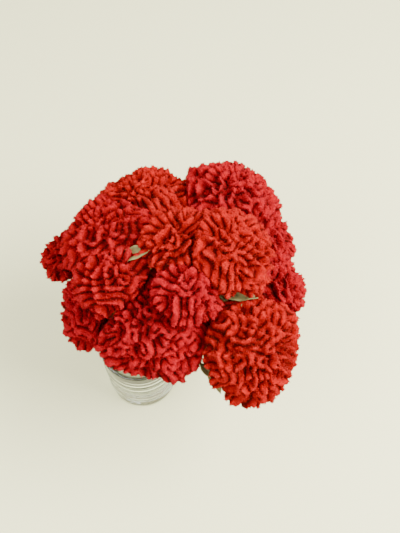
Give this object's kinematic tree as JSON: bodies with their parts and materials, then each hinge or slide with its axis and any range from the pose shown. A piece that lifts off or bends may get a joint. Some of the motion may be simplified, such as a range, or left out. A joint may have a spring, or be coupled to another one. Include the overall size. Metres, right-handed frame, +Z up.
{
  "type": "cockscomb celosia",
  "caption": "Bunch of dried cockscomb celosia heads in reds on leafy stems, standing in a small clear glass tumbler with a ringed wall.",
  "frame": {"origin": "centre of the tumbler's foot, on the surface that it stands on", "axes": "+Z up through the tumbler; +X to the right and +Y away from the viewer, as the bunch is seen from its front"},
  "size_m": [0.251, 0.2382, 0.2768],
  "materials": {
    "glass": "gloss",
    "bloom_crimson": "matte",
    "bloom_red": "matte",
    "bloom_orange_red": "matte",
    "dried_stem": "matte"
  },
  "bodies": {
    "root": {"glass": "glass", "head_top_right": "bloom_crimson", "head_right_mid": "bloom_orange_red", "head_top_mid": "bloom_orange_red", "head_left_upper": "bloom_red", "head_far_left": "bloom_red", "head_left_mid": "bloom_red", "head_left_low": "bloom_crimson", "head_front": "bloom_crimson", "head_centre_front": "bloom_crimson", "head_centre": "bloom_orange_red", "head_low_right": "bloom_orange_red", "head_far_right_up": "bloom_crimson", "head_far_right_low": "bloom_crimson", "head_back": "bloom_red", "head_back_left": "bloom_red", "stem_top_right": "dried_stem", "stem_right_mid": "dried_stem", "stem_top_mid": "dried_stem", "stem_left_upper": "dried_stem", "stem_far_left": "dried_stem", "stem_left_mid": "dried_stem", "stem_left_low": "dried_stem", "stem_front": "dried_stem", "stem_centre_front": "dried_stem", "stem_centre": "dried_stem", "stem_low_right": "dried_stem", "stem_far_right_up": "dried_stem", "stem_far_right_low": "dried_stem", "stem_back": "dried_stem", "stem_back_left": "dried_stem"}
  },
  "joints": []
}
